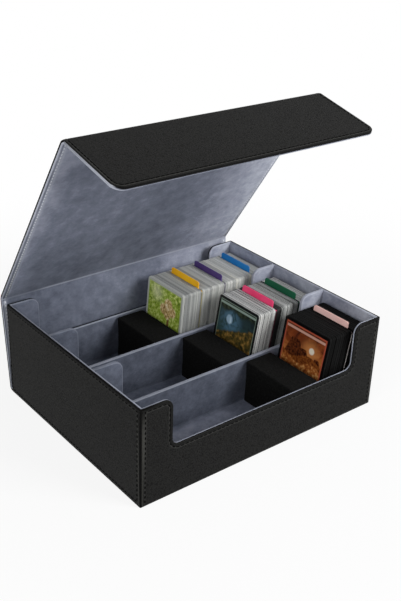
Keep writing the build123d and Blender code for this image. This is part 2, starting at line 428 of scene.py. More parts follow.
def moved_in(outline, away):
    """Each edge moves inwards by its own distance, and each corner goes where its two moved edges
    meet. `away` is one row of distances per edge, and the result one point per edge and distance."""
    edge = np.roll(outline, -1, axis=0) - outline
    inward = unit(np.stack([-edge[:, 1], edge[:, 0]], axis=1))
    before = np.roll(inward, 1, axis=0)
    away_before = np.roll(away, 1, axis=0)
    turn = (before[:, 0] * inward[:, 1] - before[:, 1] * inward[:, 0])[:, None]
    bent = np.abs(turn) > nearly_straight
    turn = np.where(bent, turn, 1.0)
    x = (away_before * inward[:, 1:] - away * before[:, 1:]) / turn
    y = (away * before[:, :1] - away_before * inward[:, :1]) / turn
    x = np.where(bent, x, away * inward[:, :1]) + outline[:, :1]
    y = np.where(bent, y, away * inward[:, 1:]) + outline[:, 1:]
    return np.stack([x, y], axis=2)


square = rounded(rectangle(10, 0, 20), [0, 0, 5, 5], [0] * 4)[0]
print("a square with two round corners has", len(square), "points")

# %% [markdown]
# ## Planes and meshes
# A sheet lies on a plane: so far across, so far along, and so deep below its visible face.
# The plane turns those three numbers into a place in the frame. A closed mesh needs quads between the
# rings and a cap at each end, and only the curved rings are shaded smooth, so flat faces stay flat.

# %% Planes and meshes


class SheetPlane:
    """place = origin + x across + y along - depth face, from millimetres to metres. The face's
    direction is the cross product of across and along."""

    def __init__(self, origin, across, along):
        self.origin = np.array(origin, float)
        self.across = np.array(across, float)
        self.along = np.array(along, float)
        self.face = np.cross(self.across, self.along)

    def place(self, x, y, depth):
        flat = self.origin + x[..., None] * self.across + y[..., None] * self.along
        return (flat - depth[..., None] * self.face) * mm


def new_piece(name, points, faces, smooth, material, body=None, stands_for=()):
    """A mesh that rides on a body, takes its finish and stands for CAD nodes."""
    mesh = bpy.data.meshes.new(name)
    mesh.from_pydata(points.reshape(-1, 3).tolist(), [], faces)
    mesh.polygons.foreach_set("use_smooth", smooth)
    mesh.materials.append(material)
    mesh.update()
    piece = bpy.data.objects.new(name, mesh)
    bpy.context.scene.collection.objects.link(piece)
    if body:
        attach(piece, body)
    if stands_for:
        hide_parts(*stands_for)
    return piece


def ring_faces(count, rings):
    """Quads between neighbouring rings, point by point round the outline, and the two end caps."""
    i, k = np.meshgrid(np.arange(count), np.arange(rings - 1), indexing="ij")
    here, after = i * rings + k, (i + 1) % count * rings + k
    quads = np.stack([here, after, after + 1, here + 1], axis=2)
    inside = np.arange(count)[::-1] * rings
    outside = np.arange(count) * rings + rings - 1
    return quads.reshape(-1, 4).tolist() + [inside.tolist(), outside.tolist()], k.ravel()


print("ring faces of a triangle with 3 rings:", len(ring_faces(3, 3)[0]))

# %% [markdown]
# ## The edge of a covered board
# Seven kinds of edge meet on this box. A free edge turns over in a quarter round and leaves a fine seam
# against the sheet on the other side. A mitred edge runs into a corner of the box with a small round,
# so two walls meet in a groove; at the rear it is sewn closer to the corner, where the cover hides
# the end of the thread. A butted edge goes on in a neighbour. At its foot a wall turns under more
# sharply, with a channel at the sides and plain at the front. The flap's front edge is wrapped: its
# leather goes all the way round, while on its sides the lining comes up. Leather is pulled down by its
# thread along the edge, so its profile has a channel; velvet that is only pasted down has none.

# %% Edge profiles, in millimetres
skin, half, hem = 1.0, 2.0, 3.0
even_inset, flap_inset, mitre_inset, rear_inset = 3.8, 3.3, 5.2, 2.3
crown_height, crown_width, channel_depth, channel_half = 0.13, 1.3, 0.42, 0.8
corner_round, foot_round, shelf = 0.4, 0.3, 1.7
free, mitred, butted, foot, plain, wrapped, rear_mitred = range(7)
turn_start, face_start = 2, 13


def turned_profile(channel, outside_corner, bulge=0.8, inset=even_inset):
    """Depths of the rings, for each kind of edge their distances from the outline, and their marks. The
    turn is a quarter ellipse that starts `bulge` below the face; the channel is one wave of a cosine; a
    mitre is the line at 45 degrees."""
    turn = np.array([2.0, 1.85, 1.6, 1.3, 1.05, 0.8, 0.55, 0.33, 0.15, 0.04, 0.0])
    steps = np.array([-2.1, -1.7, -1.2, -0.8, -0.6, -0.4, -0.2, 0.0, 0.2, 0.4, 0.6, 0.8, 1.6, 4.8])
    over = 1.15 * bulge * (1 - np.sqrt(1 - np.clip((bulge - turn) / bulge, 0, 1) ** 2))
    over[:2] = (0.45, 0.12)
    if outside_corner:
        arc = np.sqrt(np.clip(corner_round**2 - (turn - corner_round) ** 2, 0, None))
        arc = corner_round * (1 + 2**0.5) - arc
        corner = np.where(turn > corner_round * (1 + 0.5**0.5), turn, arc) + 0.04
    else:
        corner = 0.03 - turn
    from_thread = steps if channel else steps[:0]
    across = inset + from_thread
    crown = crown_height * np.sin(np.pi * np.clip((from_thread - steps[0]) / crown_width, 0, 1))
    dip = 0.5 * (1 + np.cos(np.pi * np.clip(from_thread / channel_half, -1, 1)))
    depth = np.concatenate([[skin, half], turn, (channel_depth * dip - crown) * channel])
    close_reach = [1.0, rear_inset, rear_inset + steps[-1]]
    close = np.interp(from_thread, [steps[0], 0.0, steps[-1]], close_reach)
    pocket = np.array([hem, hem])
    mitre_pocket = pocket + 4 * outside_corner
    rim = [1.0] if channel else []
    ledge = shelf + 0.01 * np.arange(len(across)) - 0.7 * (from_thread < -2)
    by_kind = [
        (pocket, over, across),
        (mitre_pocket, corner, rim, mitre_inset + from_thread[1:]),
        (pocket, 0 * turn, 0 * across),
        (pocket, foot_round * over, rim, across[1:]),
        (pocket, foot_round * over, ledge),
        (pocket, over, across),
        (mitre_pocket, corner, close),
    ]
    away = np.stack([np.concatenate(parts) for parts in by_kind])
    # Marks: on a mitred corner the turn is dark as painted shade in the groove, the ring where a foot
    # meets the ground is dark as a painted shadow, and negative marks in the channel are a painted
    # highlight on leather and painted shade on velvet.
    sunk = -dip * channel
    over_edge = np.concatenate([[0, 0], np.clip(turn * (2.2 if outside_corner else 1.0), 0, 1), sunk])
    to_face = np.concatenate([[0, 0], np.ones(len(turn)) * outside_corner, sunk])
    to_ground = np.where(np.arange(len(depth)) == face_start, 1.0 * outside_corner, to_face)
    at_foot = np.maximum(to_ground, 0)
    mark = np.stack([over_edge, to_face, 0 * depth, to_ground, at_foot, over_edge, to_face])
    return depth, away, mark


sewn = turned_profile(1.0, True)
pasted = turned_profile(0.0, True)
print("a sewn edge has", len(sewn[0]), "rings and a pasted one", len(pasted[0]))

# %% [markdown]
# ## How the edges look
# The profile's rings also carry the marks that the finishes read: dark bands, painted shade in
# grooves and at the foot, painted highlights as pale lines and pale pile on turned edges, and edges that
# the other sheet covers. The marks could be painted by hand on every piece; set once on a
# profile, they run evenly round every outline. The rings are numbered from the pocket outwards.

# %% Marks on the edges
mid_turn, thread_ring, flat_start = 8, 20, 25


def marked(profile, *runs):
    """The profile with new marks on some rings: each run gives the kinds of edge, the first ring, the
    ring after the last one, and the marks."""
    depth, away, mark = profile
    mark = mark.copy()
    for kinds, first, end, values in runs:
        mark[kinds, first:end] = values
    return depth, away, mark


# On the walls the leather is dark from the edge to the thread, with a pale line beside it, a painted
# highlight on the channel's flank.
sewn_wall = marked(
    sewn,
    (free, mid_turn + 2, thread_ring, 0.88),
    (free, thread_ring, flat_start, (0.87, 0.5, 0.0, -0.7, -0.7)),
)
# On the flap the dark band is narrow, a pale line in the channel is a painted highlight, and at the
# sides the lining covers the edge below it, painted pale as its lit rim.
sewn_flap = marked(
    turned_profile(1.0, True, inset=flap_inset),
    ([free, wrapped], mid_turn, face_start + 1, 0.87),
    ([free, wrapped], face_start + 1, flat_start - 1, (-1, -1, -1, -1, -0.8, -0.3, 0, 0, 0, 0)),
    (free, turn_start, mid_turn, 2.0),
)
# The pile is painted pale on the turn as a highlight, and inside the flap's front edge it lies under the
# leather.
glued = marked(turned_profile(0.0, False, 1.3), (free, turn_start, face_start - 2, 1.19))
# On the cover's lining a groove beside the edge is painted shade, and the pile past it is painted paler
# as a highlight.
sewn_lining = marked(
    turned_profile(0.5, False, 0.6),
    (free, turn_start, face_start - 2, 1.5),
    (wrapped, turn_start, mid_turn - 2, 2.0),
    (wrapped, mid_turn - 2, mid_turn + 2, 1.8),
    ([free, mitred], face_start, face_start + 2, -0.8),
    (free, face_start + 2, flat_start + 1, 0.5),
)
# On the cover's back the pale highlight is painted all the way in to the thread.
back_lining = marked(sewn_lining, (free, face_start, flat_start, 1.3))
print("the lining's marks run from", sewn_lining[2].min(), "to", sewn_lining[2].max())

# %% [markdown]
# ## Covering a board
# With the outline, the profile and the plane at hand, a covered board is a single call.
# It is a closed shell with a pocket for its board, as in the CAD model, so the sheet and the board
# don't share the same room. The CAD sheet is hidden, and the new one rides on the same body.

# %% Covering a board
box_width, box_depth, box_height, panel = 302.0, 241.9, 105.0, 4.0
front_run = 9.0
hide_sheet, pile_sheet = (leather.material, "leather"), (velvet.material, "velvet")
covered = []
node_body = {
    node: body for body, nodes in frame["record"]["behaviour"]["bodies"].items() for node in nodes
}


def mark_points(piece, name, values):
    """One number for each point, which a finish reads as a mark."""
    mark = piece.data.attributes.new(name, "FLOAT", "POINT")
    mark.data.foreach_set("value", np.asarray(values, np.float32).ravel())


def cover_board(node, plane, outline, kinds, profile, material, slot):
    """The profile carried round the outline, from the pocket over the edge to the visible face. Where
    an edge is butted or plain, its rings end in one flat face. A side edge's marks run into those of a
    wrapped front edge over the last few millimetres."""
    depth, away, mark = profile
    ring = moved_in(outline, away[kinds])
    points = plane.place(ring[:, :, 0], ring[:, :, 1], np.broadcast_to(depth, ring.shape[:2]))
    count, rings = len(outline), len(depth)
    faces, ring_of = ring_faces(count, rings)
    closed_from = np.where(kinds == plain, face_start, rings)
    closed_from[kinds == butted] = turn_start
    kept = np.append(ring_of < np.repeat(closed_from, rings - 1), [True, True])
    curved = (ring_of >= turn_start) & (ring_of != face_start - 1) & (ring_of != flat_start)
    smooth = np.append(curved, [False, False])
    ends = []
    for i in np.flatnonzero(closed_from < rings - 1):
        here = i * rings + np.arange(closed_from[i], rings)
        there = here - i * rings + (i + 1) % count * rings
        ends.append([*here[:1].tolist(), *there.tolist(), *here[:0:-1].tolist()])
    faces = [face for face, keep in zip(faces, kept) if keep] + ends
    smooth = np.append(smooth[kept], np.zeros(len(ends), bool))
    piece = new_piece(node + "_turned", points, faces, smooth, material, node_body[node], [node])
    before, after = mark[np.roll(kinds, 1)], mark[kinds]
    stronger = np.where(np.abs(before) > np.abs(after), before, after)
    to_front = np.clip(1 + (outline[:, 1:] - outline[:, 1].max()) / front_run, 0, 1)
    to_front = np.any(kinds == wrapped) * to_front
    mark_points(piece, "edge", stronger + to_front * (mark[wrapped] - stronger))
    covered.append(piece.name)


print("boards to cover on a box of", box_width, "by", box_depth, "by", box_height, "mm")

# %% [markdown]
# ## The walls
# Front and rear walls are cut low between two full-height ears, so that a hand can reach the cards.
# Each wall is one outline with two sheets on it: leather on the face, velvet inside. A boolean could
# cut the opening, but a cut edge has no turn-in; drawn as an outline, the leather turns over it too.

# %% Walls
ear, low, ear_round, low_round = 35.5, 54.0, 10.0, 8.0
half_wide, half_deep = box_width / 2, box_depth / 2
cut_walls = ("front", "rear")


def cut_wall(half_width, bottom, sides, bottom_kind):
    """A wall with a low cut-out, anticlockwise from its lower right corner."""
    cut = half_wide - ear
    right = [(half_width, bottom), (half_width, box_height), (cut, box_height), (cut, low)]
    left = [(-x, y) for x, y in right[::-1]]
    radii = [0, 0, ear_round, low_round, low_round, ear_round, 0, 0]
    edges = [sides[0]] + [free] * 5 + [sides[1], bottom_kind]
    return rounded(right + left, radii, edges)


def whole_wall(half_width, sides, bottom_kind):
    """A wall without a cut-out, anticlockwise from its lower right corner."""
    edges = [sides[0], free, sides[1], bottom_kind]
    return rounded(rectangle(half_width, 0, box_height, first=1), [0] * 4, edges)


up = (0, 0, 1)
outside = {
    "front": SheetPlane((0, -half_deep, 0), (1, 0, 0), up),
    "rear": SheetPlane((0, half_deep, 0), (-1, 0, 0), up),
    "left": SheetPlane((-half_wide, 0, 0), (0, -1, 0), up),
    "right": SheetPlane((half_wide, 0, 0), (0, 1, 0), up),
}
side_kinds = {
    "front": (mitred, mitred),
    "rear": (rear_mitred, rear_mitred),
    "left": (mitred, rear_mitred),
    "right": (rear_mitred, mitred),
}
for name, plane in outside.items():
    inside = SheetPlane(plane.origin - panel * plane.face, -plane.across, up)
    if name in cut_walls:
        hide_shape = cut_wall(half_wide, 0, side_kinds[name], butted if name == "rear" else plain)
        pile_shape = cut_wall(half_wide - panel, 0, (mitred, mitred), butted)
    else:
        hide_shape = whole_wall(half_deep, side_kinds[name], foot)
        pile_shape = whole_wall(half_deep - panel, (mitred, mitred), butted)
    cover_board(f"{name}_leather", plane, *hide_shape, sewn_wall, *hide_sheet)
    cover_board(f"{name}_lining", inside, *pile_shape, glued, *pile_sheet)
print("walls:", covered[-8:])

# %% [markdown]
# ## The floor and the partitions
# The floor is set between the walls, and two partitions stand on it and make three rows.
# A partition has velvet on both sides, and its sheets meet in a seam along the middle of its edge.

# %% Floor and partitions
inner_x, inner_y, row_step = half_wide - panel, half_deep - panel, 79.3
floor_shape = rounded(rectangle(inner_x, -inner_y, inner_y), [0] * 4, [butted] * 4)
underside = SheetPlane((0, 0, 0), (1, 0, 0), (0, -1, 0))
upper_side = SheetPlane((0, 0, panel), (1, 0, 0), (0, 1, 0))
cover_board("base_leather", underside, *floor_shape, pasted, *hide_sheet)
cover_board("floor_lining", upper_side, *floor_shape, glued, *pile_sheet)
partition_shape = cut_wall(inner_x, panel, (butted, butted), butted)
for name, middle in (("rear", row_step / 2), ("front", -row_step / 2)):
    to_front = SheetPlane((0, middle - half, 0), (1, 0, 0), up)
    to_rear = SheetPlane((0, middle + half, 0), (-1, 0, 0), up)
    for side, plane in (("front", to_front), ("rear", to_rear)):
        cover_board(f"{name}_partition_{side}_velvet", plane, *partition_shape, glued, *pile_sheet)
print("floor and partitions:", covered[-6:])

# %% [markdown]
# ## The folding cover
# The cover is one long strip of leather and velvet with boards in three places: the back, the top and
# the flap. Here it stands half open. A heading tells which way a panel runs in the side view, and each
# panel starts from the crease behind it, so three headings and three lengths set the whole cover.

# %% Cover panels
cover_gap, crease_half, flap_clearance, flap_round = 0.4, 3.0, 24.0, 11.0
headings = {"cover_back": 90 - 5.05, "cover_top": 180 - 56.18, "flap": 180 + 13.54}
back_length, top_length = box_height + cover_gap, box_depth + 2 * cover_gap + panel
flap_length = back_length + half - flap_clearance


def along(heading):
    """The way a panel runs in the side view: (cos, sin) of its heading, in degrees."""
    return np.array([0.0, np.cos(np.radians(heading)), np.sin(np.radians(heading))])


def outward(heading):
    """The way its leather faces, a quarter turn from there: (sin, -cos) of its heading."""
    return np.array([0.0, np.sin(np.radians(heading)), -np.cos(np.radians(heading))])


heel_half = cover_gap + half
creases = {"heel": np.array([0.0, half_deep + heel_half, half])}
creases["rear"] = creases["heel"] + along(headings["cover_back"]) * back_length
creases["front"] = creases["rear"] + along(headings["cover_top"]) * top_length
panels = {
    "cover_back": ("heel", heel_half, back_length - crease_half, 0),
    "cover_top": ("rear", crease_half, top_length - crease_half, 0),
    "flap": ("front", crease_half, flap_length, flap_round),
}
cover_planes = {}
for name, (crease, start, end, corner) in panels.items():
    heading = headings[name]
    edges = [free, wrapped if corner else butted, free, butted]
    shape = rounded(rectangle(half_wide, start, end, first=1), [0, corner, corner, 0], edges)
    out = SheetPlane(creases[crease] + half * outward(heading), (-1, 0, 0), along(heading))
    inn = SheetPlane(creases[crease] - half * outward(heading), (1, 0, 0), along(heading))
    hide_edge = sewn_flap if corner else sewn
    pile_edge = back_lining if crease == "heel" else sewn_lining
    cover_board(f"{name}_leather", out, *shape, hide_edge, *hide_sheet)
    cover_board(f"{name}_lining", inn, *shape, pile_edge, *pile_sheet)
    cover_planes[name] = (out, inn, shape)
print("cover panels:", covered[-6:])

# %% [markdown]
# ## The creases
# Between two boards the cover is only leather and velvet, and there it bends. Each crease is the side
# edges' profile, run right across the cover and carried along an arc that is tangent to both panels. At
# the sharp front fold the sides pull in a little, so that the cover's outline is round there.
# The strip is baked in place and not attached to a body, so it doesn't follow the panels when the cover
# moves.

# %% Creases
crease_steps, crease_highlight_mark, front_pull = 17, 0.8, 1.6


def bent_strip(node, crease, before, after, reach, pull, joined, outer, profile, material, slot):
    """Radius = bend + half - depth outside, bend - half + depth inside, with bend = reach / tan(half
    the turn); the angle runs from the heading before the crease to the heading after it, and the sides
    pull in by one wave of a squared sine."""
    depth, away, mark = profile[0][2:], profile[1][free, 2:], profile[2][free, 2:]
    across = np.concatenate([away - half_wide, (half_wide - away)[::-1]])
    deep = np.concatenate([depth, depth[::-1]])
    bend = reach / np.tan(np.radians((after - before) / 2))
    first, last = crease - along(before) * reach, crease + along(after) * reach
    middle = first - outward(before) * bend
    angle = np.radians(np.linspace(before, after, crease_steps))[:, None]
    radius = (bend + half - deep if outer else bend - half + deep)[None, :]
    wave = np.sin(np.pi * np.linspace(0, 1, crease_steps))
    points = np.stack(
        [
            across - np.sign(across) * pull * wave[:, None] ** 2,
            middle[1] + radius * np.sin(angle),
            middle[2] - radius * np.cos(angle),
        ],
        axis=2,
    )
    count = len(across)
    faces = ring_faces(count, crease_steps)[0]
    if outer:
        faces = [face[::-1] for face in faces]
    smooth = np.append(np.repeat(np.arange(count) < count - 1, crease_steps - 1), [False, False])
    loop = points.transpose(1, 0, 2) * mm
    piece = new_piece(node + "_bent", loop, faces, smooth, material, None, [node])
    first * mm
    last * mm
    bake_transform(piece)
    # On the lining a pale line runs along the middle of the crease: a painted highlight on the bend.
    fold = 0 * wave if outer else crease_highlight_mark * wave**4
    mark_points(piece, "edge", np.maximum(np.concatenate([mark, mark[::-1]])[:, None], fold))
    covered.append(piece.name)


back_heading, top_heading, flap_heading = headings.values()
bends = {
    "heel": (0.0, back_heading, heel_half, 0.0, ("box", "cover_back")),
    "rear": (back_heading, top_heading, crease_half, 0.0, ("cover_back", "cover_top")),
    "front": (top_heading, flap_heading, crease_half, front_pull, ("cover_top", "flap")),
}
for name, bend in bends.items():
    bent_strip(f"{name}_crease_leather", creases[name], *bend, True, sewn, *hide_sheet)
    bent_strip(f"{name}_crease_lining", creases[name], *bend, False, sewn_lining, *pile_sheet)
print("creases:", covered[-6:])

# %% [markdown]
# ## Stitches
# The thread shows as a row of short dashes in the channel, coarse on leather, slimmer on the flap and
# fine on velvet. Each is a small bolster that dives into the hole at both ends, a little longer and
# slimmer where it lies level. A bevelled curve could be laid in the channel, but it would have no ends.
# One dash is worked out once and set along the line many times, with few faces, because there are
# hundreds; a whole row is a single mesh.

# %% A row of stitches
coarse, slim, fine = (5.3, 3.5, 1.0), (5.0, 3.7, 0.85), (3.95, 2.7, 0.8)  # pitch, length, half width
thread_rise, thread_dive, stitch_tip, stitch_points = 0.4, 0.35, 0.97, 6
longer, slimmer = 0.2, 0.4


def lay_map(piece, places):
    """The piece's own map: one place for each corner of each face."""
    layer = piece.data.uv_layers.new(name="face")
    layer.data.foreach_set("uv", np.asarray(places, np.float32).ravel())


def stitch_row(name, plane, line, material, body, slot, sunk, size):
    """Even steps along the line. A stitch is a flattened tube: its girth is that of an ellipse times
    (1 - u^4)^(1/2), and it sinks by the square of u, the way from its middle, 0, to its ends, -1 and 1.
    """
    pitch, stitch_length, thread_half = size
    run = np.concatenate([[0.0], np.cumsum(np.linalg.norm(np.diff(line, axis=0), axis=1))])
    count = int(run[-1] // pitch)
    spot = (np.arange(count) + 0.5) * run[-1] / count

    def at(s):
        return np.stack([np.interp(s, run, line[:, 0]), np.interp(s, run, line[:, 1])], axis=1)

    centre = at(spot)[:, None, None]
    ahead = unit(at(spot + 0.5) - at(spot - 0.5))[:, None, None]
    side = ahead[..., ::-1] * (-1, 1)
    level = np.abs(ahead[..., :1])
    u = np.linspace(-stitch_tip, stitch_tip, stitch_points)[None, :]
    v = np.linspace(0, -2 * np.pi, stitch_points, endpoint=False)[:, None]
    girth = np.sqrt(1 - u**4)
    half_length = stitch_length / 2 * (1 + longer * level)
    flat = centre + ahead * (u + 0 * v)[None, ..., None] * half_length
    flat = flat + side * (thread_half * girth * np.cos(v))[None, ..., None] * (1 - slimmer * level)
    deep = sunk + thread_dive * u**2 + thread_rise * girth * np.sin(v)
    points = plane.place(flat[..., 0], flat[..., 1], np.broadcast_to(deep, flat.shape[:3]))
    one = ring_faces(stitch_points, stitch_points)[0]
    faces = [[corner + stitch_points**2 * n for corner in face] for n in range(count) for face in one]
    piece = new_piece(name, points, faces, np.ones(len(faces), bool), material, body)
    corner = np.zeros(len(piece.data.loops), int)
    piece.data.loops.foreach_get("vertex_index", corner)
    along_it = corner % stitch_points / (stitch_points - 1)
    round_it = corner // stitch_points % stitch_points / stitch_points
    lay_map(piece, np.stack([along_it, round_it], axis=1))
    return count


print("stitches every", coarse[0], slim[0], "and", fine[0], "mm")

# %% [markdown]
# ## Sewing the panels
# The thread follows each sheet's outline, moved in to the middle of the channel: all round a whole
# wall, round a cut wall except for its foot, along the sides of the cover, and right round the flap.
# The lines could be drawn anew; taken from the outlines, they can't leave the channel. Where two sewn
# faces come to lie on each other when the cover closes, the thread is pulled in further.

# %% Sewing
plain_inset = 2.0
open_sink, closed_sink, lining_sink = 0.05, 0.2, 0.25


def sewing_line(outline, kinds, inset, closed=True):
    """The outline, moved in to the channel; butted edges stay, and plain ones nearly."""
    by_kind = np.array([inset, mitre_inset, 0.0, inset, plain_inset, inset, rear_inset])
    line = moved_in(outline, by_kind[kinds][:, None])[:, 0]
    return np.concatenate([line, line[:1]]) if closed else line


total = 0
for name, plane in outside.items():
    cut = name in cut_walls
    kinds = side_kinds[name]
    shape = cut_wall(half_wide, 0, kinds, plain) if cut else whole_wall(half_deep, kinds, foot)
    line = sewing_line(*shape, even_inset, not cut)
    sewing = (black_thread, "box", "leather", closed_sink if cut else open_sink, coarse)
    total += stitch_row(f"{name}_leather_stitches", plane, line, *sewing)
for name, (out, inn, shape) in cover_planes.items():
    hide_inset, hide_size = (flap_inset, slim) if name == "flap" else (even_inset, coarse)
    sides = {
        "leather": (out, hide_inset, (black_thread, name, "leather", open_sink, hide_size)),
        "lining": (inn, even_inset, (grey_thread, name, "velvet", lining_sink, fine)),
    }
    for side, (plane, inset, sewing) in sides.items():
        line = sewing_line(*shape, inset, False)
        runs = {"": line} if name == "flap" else {"_right": line[:2], "_left": line[2:4]}
        for end, row in runs.items():
            total += stitch_row(f"{name}_{side}_stitches{end}", plane, row, *sewing)
print(total, "stitches")

# %% [markdown]
# ## Where things stand in the rows
# Cards are pushed against the right wall and lean on it, so a row is laid out from that wall: room for
# the lean, a stack, a divider in its small gap, the next stack, and the foam block at the end.
# The places could be typed one by one; reckoned from the thicknesses, they always fit together.

# %% Rows
stack_gap, divider_sheet, lean_room = 0.4, 0.8, 4.3
row_middle = {"rear": row_step, "middle": 0.0, "front": -row_step}
rows = {  # how far aside, lean in degrees, width, height, and the thickness of each stack
    "rear": (2.5, 4.5, 65.0, 90.0, (26.1, 31.5, 39.5, 16.4)),
    "middle": (1.5, 9.5, 65.0, 90.0, (24.5, 31.5, 19.0)),
    "front": (0.0, 9.5, 66.0, 91.0, (32.0, 20.5)),
}


def stack_feet(tilt, height, thicks):
    """Foot of stack n = right end - the thicknesses of n and of all behind it - the gaps between."""
    right_end = inner_x - height * np.sin(np.radians(tilt)) - lean_room
    gaps = (divider_sheet + 2 * stack_gap) * np.arange(len(thicks))[::-1]
    return right_end - np.cumsum(thicks[::-1])[::-1] - gaps


feet = {name: stack_feet(tilt, height, thicks) for name, (_, tilt, _, height, thicks) in rows.items()}
print({name: np.round(places, 1).tolist() for name, places in feet.items()})

# %% [markdown]
# ## Foam blocks
# A spacer block keeps a short row of cards upright. It is cut from foam, so its edges are soft and its
# faces sink a little in the middle. It is the same idea again: a rounded plan, and a profile carried
# round it from the foot to the top. A bevelled cube has even edges; cut foam hasn't.

# %% Foam blocks
block_length, block_height, block_play, block_round = 35.0, 48.0, 1.0, 2.0
foot_curve, top_curve, waist = 0.8, 1.4, 0.5
row_depth = row_step - panel


def foam_block(name):
    """Rings of a rounded plan: the profile is a quarter round at foot and top, and in between the
    sides pull in by one half wave of a sine."""
    wide = row_depth / 2 - block_play
    outline = rounded(rectangle(block_length / 2, -wide, wide), [block_round] * 4, [0] * 4, steps=6)[0]
    bow = np.linspace(0, np.pi / 2, 5)
    rise = np.linspace(0.06, 0.94, 9)
    foot_high, foot_away = foot_curve * (1 - np.cos(bow)), foot_curve * (1 - np.sin(bow))
    top_high, top_away = block_height - top_curve * (1 - np.sin(bow)), top_curve * (1 - np.cos(bow))
    high = np.concatenate([foot_high, block_height * rise, top_high, [block_height]])
    away = np.concatenate([foot_away, waist * np.sin(np.pi * rise), top_away, [top_curve + 0.5]])
    ring = moved_in(outline, np.broadcast_to(away, (len(outline), len(away))))
    middle_x = feet[name][0] - stack_gap - block_length / 2
    plane = SheetPlane((middle_x, row_middle[name], panel), (1, 0, 0), (0, 1, 0))
    points = plane.place(ring[:, :, 0], ring[:, :, 1], np.broadcast_to(-high, ring.shape[:2]))
    faces = ring_faces(len(outline), len(away))[0]
    node = f"{name}_foam_block"
    smooth = np.ones(len(faces), bool)
    piece = new_piece(node + "_soft", points, faces, smooth, foam.material, node, [node])


for name in rows:
    foam_block(name)
print("foam blocks in", list(rows))

# %% [markdown]
# ## Card faces
# The cards' pictures are free designs: a meadow, a moonlit lake and dunes at sunset, each in a frame.
# They could be painted in an image editor, but a few sine waves, circles and soft steps on the card's
# own map draw them at any size. The map is in millimetres here, so a border of 3 mm is written as 3.

# %% Card finish
lattice_wave = 0.9


class CardFinish(Finish):
    """A finish whose map tells faces (0 to 1) from backs (2 to 3) and edges (below 0)."""

    def __init__(self, name, width, height, **constants):
        super().__init__(name, **constants)
        self.u, self.v = self.map()
        self.x = (self.u - 0.5) * width
        self.y = self.v * height
        self.width, self.height = width, height

    def inside(self, margin, soft=0.25):
        """1 inside a frame that lies `margin` millimetres from the card's edge, 0 outside."""
        side = self.width / 2 - abs(self.x)
        end = self.y.least(self.height - self.y)
        return side.least(end).past(margin, soft)

    def disc(self, x, y, radius, soft=0.4):
        """1 inside a circle: the distance from its middle is the root of the summed squares."""
        squares = (self.x - x) * (self.x - x) + (self.y - y) * (self.y - y)
        return 1 - squares.maths("SQRT", squares).past(radius, soft)

    def ridge(self, height, swing, wave, shift, soft=0.5):
        """1 below a line of hills: height + swing sin(wave x + shift)."""
        line = (self.x * wave + shift).sine() * swing + height
        return 1 - (self.y - line).past(0.0, soft)

    def mesa(self, x, half, top):
        """1 on a flat-topped hill, whose sides spread by 0.4 for each millimetre below the top."""
        spread = abs(self.x - x) + (self.y - top) * 0.4
        return (1 - spread.past(half, 0.6)) * (1 - (self.y - top).past(0.0, 0.4))

    def band(self, middle, half, soft=0.3):
        """1 in a level band at the height `middle`, which reaches `half` millimetres up and down."""
        return 1 - abs(self.y - middle).past(half, soft)

    def either(self, *masks):
        """1 where any of the masks is 1."""
        whole = masks[0]
        for mask in masks[1:]:
            whole = whole.most(mask)
        return whole

    def dress(self, picture, edges, backs, gloss):
        """Face, back and edge colours, each on its own part of the map. The back has a lattice: the
        product of two sines that run slantwise."""
        rims = self.mark("tone").colours(*edges)
        x, y = self.x * lattice_wave, self.y * lattice_wave
        lattice = (abs((x + y).sine()) * abs((x - y).sine())).past(0.3, 0.1)
        rear = lattice.colours((0.0, backs[0]), (1.0, backs[1]))
        is_face = self.u.past(-0.5, 0.01)
        is_back = self.u.past(1.5, 0.01)
        self.feed("Base Color", is_face.mixed(rims, is_back.mixed(picture, rear)))
        self.feed("Roughness", is_face.between(0.62, gloss))


print("card faces are drawn in millimetres")

# %% [markdown]
# ## The meadow
# The rear row's cards have a pale border round a blossoming tree in sunny grass. Blades and blossoms
# could be drawn one by one; a fine cloud, coloured from dark to light, reads as either. Every picture is
# built from the back to the front, as a stage set is: light first, then the trunk, then the crown.

# %% Meadow cards
meadow = CardFinish("meadow_cards", 65.0, 90.0, Specular_IOR_Level=0.3)
clouds = meadow.noise(0.012, detail=5.0)
tufts = meadow.noise(0.0036, detail=5.0, rough=0.7)
growth = tufts * 0.8 + clouds * 0.2
blades = growth.colours((0.36, "#47640f"), (0.5, "#9fb83a"), (0.64, "#eaf1a0"))
glow = (meadow.disc(14, 78, 8, 8.0) * 0.6).mixed(blades, paint("#e6e6bd"))
trunk = meadow.band(47, 10) * (1 - abs(meadow.x + meadow.y * 0.08 + 5).past(1.8, 0.4))
glow = trunk.mixed(glow, paint("#7a5a30"))
boughs = ((-8, 69, 7.5), (-16, 63, 6.0), (0, 62, 6.5), (-7, 58, 6.5))
crown = meadow.either(*(meadow.disc(*bough, 1.0) for bough in boughs))
blossom = growth.colours((0.38, "#8a6430"), (0.5, "#dcbd7c"), (0.6, "#fbf0cf"))
picture = meadow.inside(3.4).mixed(paint("#aab877"), crown.mixed(glow, blossom))
picture = meadow.inside(2.6).mixed(paint("#b9bcb4"), picture)
paper_edges = ((0.0, "#5f6162"), (0.2, "#949694"), (0.5, "#b7b8b4"), (0.9, "#cfcfcb"), (1.0, "#cbc4a2"))
meadow.dress(picture, paper_edges, ("#3d4a68", "#6d7a96"), 0.35)
print("card finish:", meadow.material.name)

# %% [markdown]
# ## The lake
# The middle row's cards have a black border round cold moonlight over a warm shore. The shore's line
# could be a curve; a slanting step that the mist shifts to and fro is as uneven as a real one.

